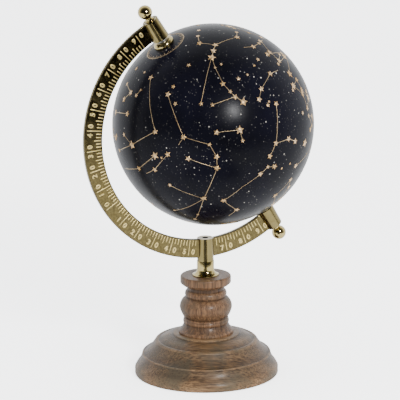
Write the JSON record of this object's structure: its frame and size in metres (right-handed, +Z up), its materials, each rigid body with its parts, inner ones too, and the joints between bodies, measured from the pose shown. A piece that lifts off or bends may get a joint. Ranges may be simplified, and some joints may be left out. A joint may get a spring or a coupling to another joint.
{
  "type": "celestial globe",
  "caption": "Table-top celestial globe: dark star-map ball on a tilted axle in a half-ring brass meridian with a raised degree scale, on a turned wooden stem and stepped foot.",
  "frame": {"origin": "middle of the felt's underside, on the surface the globe stands on, under the stem", "axes": "+Z up; the meridian arm lies in the XZ plane and the polar axis leans from +Z towards -X; -Y is the front, where the arm's scale is read"},
  "size_m": [0.2385, 0.2, 0.3808],
  "materials": {
    "globe_print": "varnished dark printed star map",
    "cast_brass": "cast, polished, raised scale",
    "polished_brass": "turned and polished",
    "foot_wood": "turned, stained and waxed, mottled face grain",
    "stem_wood": "turned, stained and waxed, upright grain",
    "zinc_steel": "zinc plated",
    "inner_plastic": "moulded",
    "felt": "pressed wool felt"
  },
  "bodies": {
    "stand": {"base_felt": "felt", "base_foot": "foot_wood", "stem_turning": "stem_wood", "ferrule": "polished_brass", "tie_rod": "zinc_steel", "tie_washer": "zinc_steel", "tie_nut": "zinc_steel", "meridian_arm": "cast_brass", "axle_rod": "zinc_steel", "finial_north": "polished_brass", "spacer_north": "zinc_steel", "finial_south": "polished_brass", "spacer_south": "zinc_steel"},
    "globe": {"equator_band": "inner_plastic", "globe_north_half": "globe_print", "pole_bush_north": "inner_plastic", "pole_cup_north": "polished_brass", "globe_south_half": "globe_print", "pole_bush_south": "inner_plastic", "pole_cup_south": "polished_brass"}
  },
  "joints": [
    {"name": "globe_spin", "type": "hinge", "parent": "stand", "child": "globe", "pos_m": [0.00977, 0, 0.25462], "axis": [-0.515, 0, 0.8572], "continuous": true}
  ]
}
